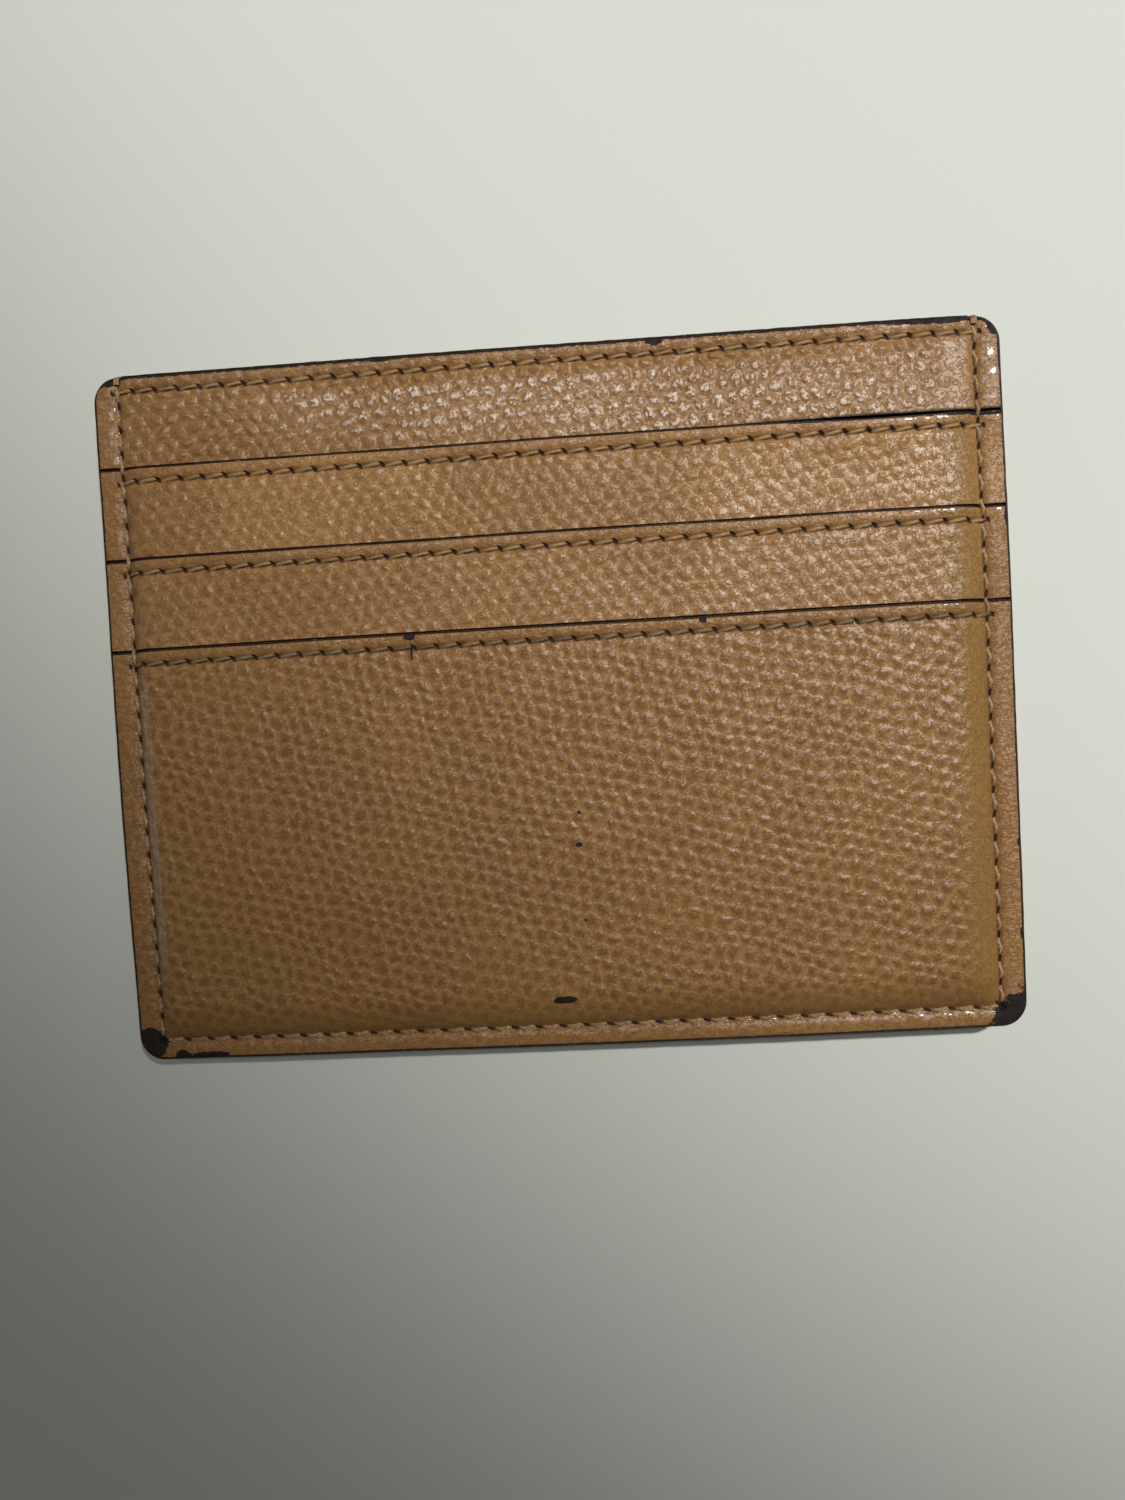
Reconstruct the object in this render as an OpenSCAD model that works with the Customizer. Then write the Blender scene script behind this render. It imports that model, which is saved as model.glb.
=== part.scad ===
// Flat two-sided card holder in grained leather, lying on its back face.
//
// X runs across the card mouths, +Y points at the top edge and +Z out of the
// front face. The origin is under the middle of the holder, on the plane that
// it rests on.
//
// Each side is a shingle of plies. A leather top strip and two leather slot
// strips overlap downwards like roof tiles, and a leather pocket panel closes
// the stack. A thin lining hangs behind each slot and is tacked to a stiffener
// board, so a card put into one slot stops level with the others. The two
// sides are sewn together round the left, bottom and right edges, and the
// centre pocket between them stays open at the top.
//
// Heights within a side are measured outwards from the middle plane, and
// depths (names with _d) downwards from the top edge.

/* [Body] */
// Width of the holder, edge paint included
body_w = 98; // [80:1:120]
// Height of the holder, edge paint included
body_h = 76; // [70:1:96]
// Radius of the four corners
corner_r = 2.8; // [1:0.1:6]

/* [Slots] */
// Distance from one slot edge to the next, which is also the strip that shows
slot_pitch = 10; // [8:0.5:13]
// Length of each strip's skived flap behind the next slot
flap_l = 5; // [2:0.5:6]
// Slack in an empty card slot
slot_gap = 0.15; // [0.1:0.05:0.5]
// Slack in the empty centre pocket
centre_gap = 0.5; // [0.2:0.1:2]
// Gap left at a slot's mouth, above the slot's painted edge
mouth_gap = 0.15; // [0.1:0.05:0.4]

/* [Plies] */
// Leather thickness
leather_t = 0.75; // [0.6:0.05:1.2]
// Thickness that a strip's flap is skived to
flap_t = 0.25; // [0.15:0.05:0.5]
// Lining thickness
lining_t = 0.15; // [0.1:0.05:0.3]
// Stiffener board thickness
board_t = 0.35; // [0.2:0.05:0.8]
// Thickness of the paint on a cut edge
paint_t = 0.2; // [0.1:0.05:0.4]

/* [Seams] */
// Side edge to the side seam
side_inset = 2.7; // [2:0.1:4]
// Bottom edge to the bottom seam
bottom_inset = 2.2; // [1.8:0.1:4]
// Top edge to the top stitch row
top_row_inset = 1.75; // [1.2:0.05:3]
// Slot edge to the stitch row below it
slot_row_inset = 1.6; // [1.2:0.05:3]
// Stitch length of the rows along the slot edges
row_pitch = 2.45; // [1.8:0.05:4]
// Stitch length of the side and bottom seams
seam_pitch = 2.65; // [1.8:0.05:4]
// Thread thickness in the rows, which is also how deep they are sunk
row_thread = 0.3; // [0.2:0.05:0.4]
// Thread thickness in the seams
seam_thread = 0.45; // [0.3:0.05:0.6]
// Height of the seam thread above the leather
seam_proud = 0.2; // [0.05:0.05:0.3]
// Flat border between a seam and the rise to the field
border_land = 0.6; // [0.4:0.1:2]
// Steepness of the rise from the border to the field, in degrees
rise_angle = 41; // [25:1:60]

/* [Linings] */
// Length of a slot lining's foot, which lies flat on the board
foot_l = 3; // [2:0.5:4]
// Length over which a slot lining comes down to the board
foot_run = 3.5; // [1.5:0.5:4]

/* [Hidden] */
$fn = 64;
LEATHER = [0.70, 0.49, 0.31];
LINING = [0.44, 0.30, 0.19];
BOARD = [0.62, 0.58, 0.50];
PAINT = [0.14, 0.07, 0.05];
THREAD = [0.66, 0.47, 0.25];

// A plain overrun for cutting shapes
over = 1;
half_w = body_w / 2;
half_h = body_h / 2;

// The slot edges are numbered from the top: 0 is the top edge, 3 the pocket's
last = 3;
function edge_d(k) = k * slot_pitch;
function row_d(k) = edge_d(k) + (k == 0 ? top_row_inset : slot_row_inset);
function y_at(d) = half_h - d;

// Heights at the sewn border, where the plies lie hard on each other
border_board = lining_t;
border_base = lining_t + board_t;
border_top = border_base + leather_t;

// Heights in the field
field_lining = centre_gap / 2;
field_board = field_lining + lining_t;
field_base = field_board + board_t;
slot_rise = flap_t + slot_gap + lining_t;
function level(k) = field_base + k * slot_rise;
half_t = level(last) + leather_t;

// Where the border ends and the plies rise
seam_x = half_w - side_inset;
seam_y = bottom_inset - half_h;
pinch_x = seam_x - border_land;
pinch_y = seam_y + border_land;
slope = tan(rise_angle);
full_rise = (level(last) - border_base) / slope;
// Linings and flaps stop inside the rise, so the border stays thin
lining_x = pinch_x - full_rise;
lining_end_d = half_h - pinch_y - full_rise;
// A slot lining ends as far above the next one as their slot edges are apart
function foot_d(k) = half_h - seam_y - (last - k) * slot_pitch;
foot_row_inset = foot_l / 2;

// Stitch holes
row_end_x = seam_x - seam_thread - row_thread;
foot_end_x = lining_x - row_pitch;
seam_start_y = half_h - paint_t - seam_thread;
thread_dip = row_thread / 3;

SIDES = ["front", "back"];
PIECES = [
    "centre_lining", "stiffener_board", "top_strip", "slot_1_strip",
    "slot_2_strip", "pocket_panel", "slot_1_lining", "slot_2_lining",
    "pocket_lining", "top_edge_paint", "slot_1_edge_paint",
    "slot_2_edge_paint", "pocket_edge_paint", "top_stitching",
    "slot_1_stitching", "slot_2_stitching", "pocket_stitching",
    "slot_1_foot_stitching", "slot_2_foot_stitching"
];

// ---- Placing ----

// A side is drawn on the middle plane, facing up: the back is turned over
module on_side(side) {
    translate([0, 0, half_t])
        mirror([0, 0, side == "back" ? 1 : 0])
            children();
}

// Draws (x, z) outlines from one depth to another
module along_y(d0, d1) {
    translate([0, y_at(d0), 0])
        rotate([90, 0, 0])
            linear_extrude(d1 - d0)
                children();
}

// Draws (y, z) outlines from one x to another
module along_x(x0, x1) {
    translate([x0, 0, 0])
        rotate([90, 0, 90])
            linear_extrude(x1 - x0)
                children();
}

// ---- Outlines ----

// The holder's plan, made smaller by inset on every edge
module plan(inset) {
    r = corner_r - inset;
    w = body_w - 2 * inset;
    h = body_h - 2 * inset;
    square([w, h - 2 * r], center = true);
    square([w - 2 * r, h], center = true);
    for (x = [-1, 1], y = [-1, 1])
        translate([x * (w / 2 - r), y * (h / 2 - r)])
            circle(r);
}

// Keeps what lies inside the paint of the outer edge
module inside_rim() {
    intersection() {
        children();
        linear_extrude(2 * half_t + over, center = true)
            plan(paint_t);
    }
}

function reversed(list) = [for (i = [len(list) - 1 : -1 : 0]) list[i]];

// Height across the holder: low on the borders and high in the field
function across(border, field, end_x = half_w + over) =
    let (top_x = pinch_x - (field - border) / slope)
    [
        [-end_x, border], [-pinch_x, border], [-top_x, field],
        [top_x, field], [pinch_x, border], [end_x, border]
    ];

// Height down the holder: high in the field and low on the bottom border
function down(border, field) =
    [
        [half_h + over, field], [pinch_y + (field - border) / slope, field],
        [pinch_y, border], [-half_h - over, border]
    ];

// A ply of thickness t between its two sets of heights
module ply_outline(border, field, t, end_x = half_w + over) {
    polygon(concat(
        across(border + t, field + t, end_x),
        reversed(across(border, field, end_x))
    ));
}

// Everything below a surface that is low on both borders and the bottom
module below(border, field, floor_z) {
    intersection() {
        along_y(-over, body_h + over)
            polygon(concat(
                across(border, field),
                [[half_w + over, floor_z], [-half_w - over, floor_z]]
            ));
        along_x(-half_w - over, half_w + over)
            polygon(concat(
                down(border, field),
                [[-half_h - over, floor_z], [half_h + over, floor_z]]
            ));
    }
}

// A ply that is pinched along both sides and the bottom
module pinched_ply(border, field, t) {
    difference() {
        below(border + t, field + t, -over);
        below(border, field, -2 * over);
    }
}

// ---- Thread ----

// Equal steps centred on the middle, none longer than the row allows
function row_holes(end_x) =
    let (count = floor(2 * end_x / row_pitch))
    [for (i = [0 : count]) (i - count / 2) * row_pitch];

// Equal steps from one end to the other, close to the seam's stitch length
function seam_holes(from, to) =
    let (count = round((to - from) / seam_pitch))
    [for (i = [0 : count]) from + i * (to - from) / count];

// A row of stitches seen from the side: a leg goes down each needle hole
// and the thread lies between the holes
module stitches(holes, tops, feet, w) {
    n = len(holes) - 1;
    polygon(concat(
        [[holes[0] - w / 2, tops[0] - thread_dip]],
        [for (i = [0 : n - 1]) each [
            [holes[i] + w, tops[i]],
            [holes[i + 1] - w, tops[i + 1]],
            [holes[i + 1] + (i == n - 1 ? w / 2 : 0), tops[i + 1] - thread_dip]
        ]],
        [for (i = [n : -1 : 0]) each [
            [holes[i] + w / 2, i == n ? feet[i] : tops[i] - w],
            [holes[i] + w / 2, feet[i]],
            [holes[i] - w / 2, feet[i]],
            [holes[i] - w / 2, i == 0 ? feet[i] : tops[i] - w]
        ]]
    ));
}

// Leather surface of strip k at x
function surface_at(k, x) =
    min(border_top + max(0, pinch_x - abs(x)) * slope, level(k) + leather_t);

// The top row goes right through its side, and a slot row through the
// leather and its lining
function row_foot(k, x) =
    surface_at(k, x) - leather_t
    - (k == 0 ? board_t + lining_t : abs(x) < lining_x ? lining_t : 0);

module edge_row(k) {
    holes = row_holes(row_end_x);
    along_y(row_d(k) - row_thread / 2, row_d(k) + row_thread / 2)
        stitches(
            holes,
            [for (x = holes) surface_at(k, x)],
            [for (x = holes) row_foot(k, x)],
            row_thread
        );
}

// Holds a slot lining's foot to the board
module foot_row(k) {
    holes = row_holes(foot_end_x);
    d = foot_d(k) - foot_row_inset;
    along_y(d - row_thread / 2, d + row_thread / 2)
        stitches(
            holes,
            [for (x = holes) field_base + lining_t + row_thread],
            [for (x = holes) field_lining],
            row_thread
        );
}

// One side's half of the seam that joins the front to the back
module seam() {
    top = border_top + seam_proud;
    y_holes = seam_holes(seam_y, seam_start_y);
    x_holes = seam_holes(-seam_x, seam_x);
    w = seam_thread;
    for (x = [-seam_x, seam_x])
        along_x(x - w / 2, x + w / 2)
            stitches(y_holes, [for (y = y_holes) top], [for (y = y_holes) 0], w);
    along_y(half_h - seam_y - w / 2, half_h - seam_y + w / 2)
        stitches(x_holes, [for (x = x_holes) top], [for (x = x_holes) 0], w);
}

// ---- Plies of one side, from the middle outwards ----

module centre_lining() {
    color(LINING)
        difference() {
            inside_rim()
                pinched_ply(0, field_lining, lining_t);
            edge_row(0);
            foot_row(1);
            foot_row(2);
            seam();
        }
}

module stiffener_board() {
    color(BOARD)
        difference() {
            inside_rim()
                pinched_ply(border_board, field_board, board_t);
            edge_row(0);
            foot_row(1);
            foot_row(2);
            seam();
        }
}

// Leather strip k: full thickness where it shows, skived behind the next slot
module strip(k) {
    top_d = edge_d(k) + paint_t;
    end_d = edge_d(k + 1) - mouth_gap;
    flap_end_d = edge_d(k + 1) + flap_l;
    color(LEATHER)
        difference() {
            union() {
                inside_rim()
                    along_y(top_d, end_d)
                        ply_outline(border_base, level(k), leather_t);
                translate([-lining_x, y_at(flap_end_d), level(k)])
                    cube([2 * lining_x, flap_end_d - end_d + over, flap_t]);
            }
            edge_row(k);
            seam();
        }
}

module pocket_panel() {
    top_d = edge_d(last) + paint_t;
    color(LEATHER)
        difference() {
            intersection() {
                inside_rim()
                    pinched_ply(border_base, level(last), leather_t);
                translate([-half_w, -half_h, 0])
                    cube([body_w, body_h - top_d, half_t]);
            }
            edge_row(last);
            seam();
        }
}

// Lining k hangs behind slot strip k and stands its foot on the board
module slot_lining(k) {
    high = level(k) - lining_t;
    top_y = y_at(edge_d(k) + paint_t);
    end_y = y_at(foot_d(k));
    low = [
        [top_y, high], [end_y + foot_l + foot_run, high],
        [end_y + foot_l, field_base], [end_y, field_base]
    ];
    color(LINING)
        difference() {
            along_x(-lining_x, lining_x)
                polygon(concat(low, [for (p = reversed(low)) p + [0, lining_t]]));
            edge_row(k);
            foot_row(k);
        }
}

module pocket_lining() {
    top_d = edge_d(last) + paint_t;
    color(LINING)
        difference() {
            translate([-lining_x, y_at(lining_end_d), level(last) - lining_t])
                cube([2 * lining_x, lining_end_d - top_d, lining_t]);
            edge_row(last);
        }
}

// ---- Edge paint ----

// The mouth of the centre pocket, between the two pinched ends
module top_edge_paint() {
    color(PAINT)
        along_y(0, paint_t)
            ply_outline(0, field_lining, border_top, pinch_x);
}

// Covers the cut edges of slot k's leather and lining
module slot_edge_paint(k) {
    color(PAINT)
        difference() {
            inside_rim() {
                along_y(edge_d(k), edge_d(k) + paint_t)
                    ply_outline(border_base, level(k), leather_t);
                translate([-lining_x, y_at(edge_d(k) + paint_t), level(k) - lining_t])
                    cube([2 * lining_x, paint_t, lining_t + leather_t / 2]);
            }
            seam();
        }
}

// Runs down one side, along the bottom and up the other
module rim_edge_paint() {
    color(PAINT)
        difference() {
            linear_extrude(2 * border_top, center = true)
                difference() {
                    plan(0);
                    plan(paint_t);
                }
            translate([-pinch_x, half_h - paint_t, -half_t])
                cube([2 * pinch_x, paint_t + over, 2 * half_t]);
        }
}

// ---- Nodes ----

for (side = SIDES)
    on_side(side) {
        centre_lining();
        stiffener_board();
        strip(0);
        strip(1);
        strip(2);
        pocket_panel();
        slot_lining(1);
        slot_lining(2);
        pocket_lining();
        top_edge_paint();
        slot_edge_paint(1);
        slot_edge_paint(2);
        slot_edge_paint(last);
        color(THREAD) edge_row(0);
        color(THREAD) edge_row(1);
        color(THREAD) edge_row(2);
        color(THREAD) edge_row(last);
        color(THREAD) foot_row(1);
        color(THREAD) foot_row(2);
    }
color(THREAD) on_side("front") seam();  // seam_needle_thread
color(THREAD) on_side("back") seam();  // seam_bobbin_thread
on_side("front") rim_edge_paint();
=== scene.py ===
import math
import bmesh
import bpy
from mathutils import Matrix, Vector, noise


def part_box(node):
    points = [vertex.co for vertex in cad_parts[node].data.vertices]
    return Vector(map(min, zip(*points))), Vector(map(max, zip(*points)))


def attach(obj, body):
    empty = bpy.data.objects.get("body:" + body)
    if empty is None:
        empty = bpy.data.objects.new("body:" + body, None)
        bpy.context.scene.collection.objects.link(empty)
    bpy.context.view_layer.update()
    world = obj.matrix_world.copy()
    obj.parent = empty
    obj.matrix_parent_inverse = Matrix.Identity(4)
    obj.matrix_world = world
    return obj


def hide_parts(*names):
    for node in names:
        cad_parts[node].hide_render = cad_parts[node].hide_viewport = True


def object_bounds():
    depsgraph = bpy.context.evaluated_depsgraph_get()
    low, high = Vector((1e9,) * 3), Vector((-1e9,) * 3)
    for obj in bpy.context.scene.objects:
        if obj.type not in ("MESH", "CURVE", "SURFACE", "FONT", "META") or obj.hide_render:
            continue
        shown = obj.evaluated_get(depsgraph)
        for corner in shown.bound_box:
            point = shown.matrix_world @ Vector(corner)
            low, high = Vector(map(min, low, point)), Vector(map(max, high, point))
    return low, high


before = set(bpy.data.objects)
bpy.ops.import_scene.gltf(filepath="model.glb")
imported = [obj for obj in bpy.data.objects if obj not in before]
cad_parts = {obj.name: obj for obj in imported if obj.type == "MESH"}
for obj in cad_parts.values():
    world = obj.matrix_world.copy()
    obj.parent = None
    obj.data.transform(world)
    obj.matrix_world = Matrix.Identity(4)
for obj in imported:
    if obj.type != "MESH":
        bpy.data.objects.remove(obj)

# A two-sided leather card holder, lying on its back. Each side is drawn face up in millimetres, with
# heights measured outwards from the middle plane, and the back is turned over at the end. The main
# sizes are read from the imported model. k counts a side's plies, from the top strip, 0, to the pocket
# panel, 3.

mm = 0.001
body = "root"
cadLow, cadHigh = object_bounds()


def span(node, axis):
    low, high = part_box(node)
    return low[axis] / mm, high[axis] / mm


def middle(node, axis):
    return sum(span(node, axis)) / 2


halfW = (cadHigh.x - cadLow.x) / 2 / mm
halfH = (cadHigh.y - cadLow.y) / 2 / mm
midZ = (cadHigh.z + cadLow.z) / 2 / mm

plyNodes = ["top_strip", "slot_1_strip", "slot_2_strip", "pocket_panel"]
rowNodes = ["top_stitching", "slot_1_stitching", "slot_2_stitching", "pocket_stitching"]
paintNodes = ["top_edge_paint", "slot_1_edge_paint", "slot_2_edge_paint", "pocket_edge_paint"]
pocket = 3                                           # the last ply, which closes the stack

fieldTop = [span("front_" + n, 2)[1] - midZ for n in plyNodes]
slotEdge = [span("front_" + n, 1)[1] for n in paintNodes]
rowY = [middle("front_" + n, 1) for n in rowNodes]
borderTop = span("rim_edge_paint", 2)[1] - midZ
paintT = halfW - span("front_pocket_panel", 0)[1]
liningX = span("front_pocket_lining", 0)[1]
liningT = span("front_pocket_lining", 2)[1] - span("front_pocket_lining", 2)[0]
leatherT = fieldTop[1] + midZ - span("front_slot_1_lining", 2)[1]
centreGap = span("front_centre_lining", 2)[1] - midZ - liningT

shape = dict(
    cornerR=2.8,
    step=0.42,                                       # grid spacing of the leather
    flapT=0.25, mouthGap=0.15,                       # the flap behind the next slot, and its clearance
    riseLeft=2.2, riseRight=3.6, riseBottom=4.2,     # slope from the sewn border up to the field
    gape=0.32, gapeAt=34.0, gapeWide=9.0,            # slot 1's mouth, open near its right end
    gapeElse=0.05, gapeRun=6.0,
    lipPuff=0.11, borderPuff=0.07, pucker=0.05, swell=0.05, ripple=0.015,
    lipSag=0.05, lipWander=0.08, lipPull=0.28, pullAt=36.0, pullWide=8.0,
    rowDip=0.20, rowHole=0.14, rowWide=0.36,
    seamDip=0.22, seamHole=0.16, seamWide=0.42, holeWide=0.42, seamHoleWide=0.45,
    edgeRound=0.10,
    bowX=0.20, bowY=0.16, drift=0.12, driftLong=24.0,
)
row = dict(
    pitch=2.45, thick=0.42, gap=0.34, overrun=0.7, slant=11.0, lift=0.20, wander=0.035, sides=6,
    slitLean=-42.0, slitLong=0.46, slitWide=0.20,
)
seam = dict(
    wide=0.45, pitch=2.65, thick=0.62, gap=0.66, slant=5.0, lift=0.28, turns=1.7, sides=5,
    slitLean=8.0, slitLong=0.52, slitWide=0.16, baseLean=-12.0, baseLong=0.6, baseWide=0.15,
)
seamX = span("seam_needle_thread", 0)[1] - seam["wide"] / 2
seamLow = span("seam_needle_thread", 1)[0] + seam["wide"] / 2
seamHigh = span("seam_needle_thread", 1)[1] - seam["wide"] / 2


def holesAlong(start, end, pitch):
    count = round((end - start) / pitch)
    return [start + i * (end - start) / count for i in range(count + 1)]


rowEnd = seamX + row["overrun"]
rowHoles = holesAlong(-rowEnd, rowEnd, row["pitch"])
sideHoles = holesAlong(seamLow, seamHigh, seam["pitch"])
baseHoles = holesAlong(-seamX, seamX, seam["pitch"])
print(f"holder {2 * halfW:.1f} x {2 * halfH:.1f} x {2 * midZ:.2f} mm, "
      f"{len(rowHoles) - 1} stitches a row, {len(sideHoles) - 1} a side")


def clamp(t):
    return min(1.0, max(0.0, t))


def soft(t):
    t = clamp(t)
    return t * t * (3 - 2 * t)


def hump(t):
    return math.exp(-t * t)


def toHole(value, holes):
    # distance from the nearest hole of an even row
    stepLong = holes[1] - holes[0]
    i = min(len(holes) - 1, max(0, round((value - holes[0]) / stepLong)))
    return abs(value - holes[i])


def rise(k, x, y):
    # 0 on the sewn border, 1 in the field
    inset = seamX - abs(x) - 0.1
    if x < 0:
        side = 1 - (1 - clamp(inset / shape["riseLeft"])) ** 1.6
    else:
        side = 1 - (1 - clamp(inset / shape["riseRight"])) ** 2
    foot = 1 - (1 - clamp((y - seamLow - 0.2) / shape["riseBottom"])) ** 2 if k == pocket else 1.0
    return side * foot


def gape(k, x):
    # how far a slot's mouth stands open
    if k == 1:
        return shape["gape"] * hump((x - shape["gapeAt"]) / shape["gapeWide"])
    return shape["gapeElse"] * hump((x + 5) / 30)


def gapeAt(k, x, y):
    # the same, fading out below the edge
    return gape(k, x) * soft(1 - (slotEdge[k] - y) / shape["gapeRun"])


def bodyHeight(k, x, y):
    # outer height of ply k without its stitching
    field = fieldTop[k] + gapeAt(k, x, y)
    field += shape["swell"] * noise.noise(Vector((x / 15, y / 11, 3.1 + k)))
    return borderTop + (field - borderTop) * rise(k, x, y)


def sewnDip(x, y):
    # groove of the side and bottom seams, deeper at each needle hole
    fade = 0.6
    side = hump((abs(x) - seamX) / shape["seamWide"]) * soft((y - seamLow + fade) / fade)
    side *= shape["seamDip"] + shape["seamHole"] * hump(toHole(y, sideHoles) / shape["seamHoleWide"])
    base = hump((y - seamLow) / shape["seamWide"]) * soft((seamX + fade - abs(x)) / fade)
    base *= shape["seamDip"] + shape["seamHole"] * hump(toHole(x, baseHoles) / shape["seamHoleWide"])
    return max(side, base)


def rowGroove(k, x, y):
    along = soft((rowEnd + 0.4 - abs(x)) / 0.5)
    depth = shape["rowDip"] + shape["rowHole"] * hump(toHole(x, rowHoles) / shape["holeWide"])
    return hump((y - rowY[k]) / shape["rowWide"]) * along * depth


def puff(k, x, y):
    # the leather swells between a slot's edge and its stitches, and between the seam and the rim
    lip = math.sin(math.pi * clamp((slotEdge[k] - y) / (slotEdge[k] - rowY[k]))) * shape["lipPuff"]
    lip *= 0.75 + 0.25 * clamp(toHole(x, rowHoles) / 0.9)
    border = math.sin(math.pi * clamp((abs(x) - seamX) / (halfW - seamX))) * shape["borderPuff"]
    border *= 0.7 + 0.3 * clamp(toHole(y, sideHoles) / 0.9)
    hem = 0.0
    if k == pocket:
        hem = math.sin(math.pi * clamp((seamLow - y) / (halfH + seamLow))) * shape["borderPuff"]
    # short folds run out from the side seams to the rim
    folds = noise.noise(Vector((x / 4.5, (y - 0.35 * abs(x)) / 0.9, 21.0 + k))) * shape["pucker"]
    folds *= soft((abs(x) - seamX + 0.3) / 0.5)
    return max(lip, border, hem) + folds


def leatherTop(k, x, y):
    ripple = shape["ripple"] * noise.noise(Vector((x / 3.2, y / 2.6, 11.0 + k)))
    return bodyHeight(k, x, y) + puff(k, x, y) - max(rowGroove(k, x, y), sewnDip(x, y)) + ripple


def lipPull(k, x):
    # how far the slot's edge has stretched down from its line
    if k == 0:
        return 0.0
    sag = shape["lipSag"] + shape["lipWander"] * noise.noise(Vector((x / 9, 31.0 + k, 2.0)))
    if k == 1:
        sag += shape["lipPull"] * hump((x - shape["pullAt"]) / shape["pullWide"])
    return sag


def roundCorner(x, y, top, bottom):
    # carries a square corner's grid onto a round one
    r = shape["cornerR"] - paintT
    w, h = halfW - paintT, halfH - paintT
    if (y > 0 and not top) or (y < 0 and not bottom):
        return x, y
    dx, dy = abs(x) - (w - r), abs(y) - (h - r)
    if dx <= 0 or dy <= 0:
        return x, y
    reach = max(dx, dy) / math.hypot(dx, dy)
    return math.copysign(w - r + dx * reach, x), math.copysign(h - r + dy * reach, y)


def sheetGrid(x0, x1, y0, y1, step, linesX=(), linesY=()):
    bm = bmesh.new()
    bmesh.ops.create_grid(
        bm, x_segments=max(1, round((x1 - x0) / step)),
        y_segments=max(1, round((y1 - y0) / step)), size=0.5)
    bmesh.ops.scale(bm, vec=(x1 - x0, y1 - y0, 1), verts=bm.verts)
    bmesh.ops.translate(bm, vec=((x0 + x1) / 2, (y0 + y1) / 2, 0), verts=bm.verts)
    for normal, lines in (((1, 0, 0), linesX), ((0, 1, 0), linesY)):
        for at in lines:
            bmesh.ops.bisect_plane(
                bm, geom=bm.verts[:] + bm.edges[:] + bm.faces[:], dist=0.02,
                plane_co=Vector(normal) * at, plane_no=normal)
    return bm


def thicken(bm, topAt, bottomAt):
    # pulls a second layer off the grid, then gives each layer its height
    made = bmesh.ops.extrude_face_region(bm, geom=bm.faces[:])["geom"]
    upper = {g for g in made if isinstance(g, bmesh.types.BMVert)}
    for v in bm.verts:
        v.co.z = topAt(v.co.x, v.co.y) if v in upper else bottomAt(v.co.x, v.co.y)
    bmesh.ops.recalc_face_normals(bm, faces=bm.faces)
    return upper


def roundEdges(bm, edges, radius):
    bmesh.ops.bevel(bm, geom=edges, offset=radius, segments=2, affect="EDGES",
                    profile=0.5, material=-1, clamp_overlap=True)


def rimOf(bm, upper):
    # the edges round the upper layer
    return [e for e in bm.edges if e.verts[0] in upper and e.verts[1] in upper
            and any(any(v not in upper for v in f.verts) for f in e.link_faces)]


def settle(x, y):
    # the edges bow out a little, and nothing runs dead straight
    bowX = shape["bowX"] * (1 - (y / halfH) ** 2) * x / halfW
    bowY = shape["bowY"] * (1 - (x / halfW) ** 2) * y / halfH
    at = Vector((x / shape["driftLong"], y / shape["driftLong"], 1.7))
    driftX = shape["drift"] * noise.noise(at)
    driftY = shape["drift"] * noise.noise(at + Vector((0, 0, 9)))
    return x + bowX + driftX, y + bowY + driftY


def finishPiece(bm, name, side, material, nodes=(), sharp=50):
    plans = []
    for v in bm.verts:
        plans.extend(v.co)
        x, y = settle(v.co.x, v.co.y)
        v.co = Vector((x, y, midZ + (v.co.z if side == "front" else -v.co.z))) * mm
    if side == "back":
        bmesh.ops.reverse_faces(bm, faces=bm.faces)
    mesh = bpy.data.meshes.new(name)
    bm.to_mesh(mesh)
    bm.free()
    # the place on the unbent pattern, in millimetres, for the materials
    mesh.attributes.new("plan", "FLOAT_VECTOR", "POINT").data.foreach_set("vector", plans)
    mesh.shade_smooth()
    mesh.set_sharp_from_angle(angle=math.radians(sharp))
    piece = bpy.data.objects.new(name, mesh)
    bpy.context.scene.collection.objects.link(piece)
    mesh.materials.append(material)
    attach(piece, body)
    if nodes:
        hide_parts(*nodes)
    return piece


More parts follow.
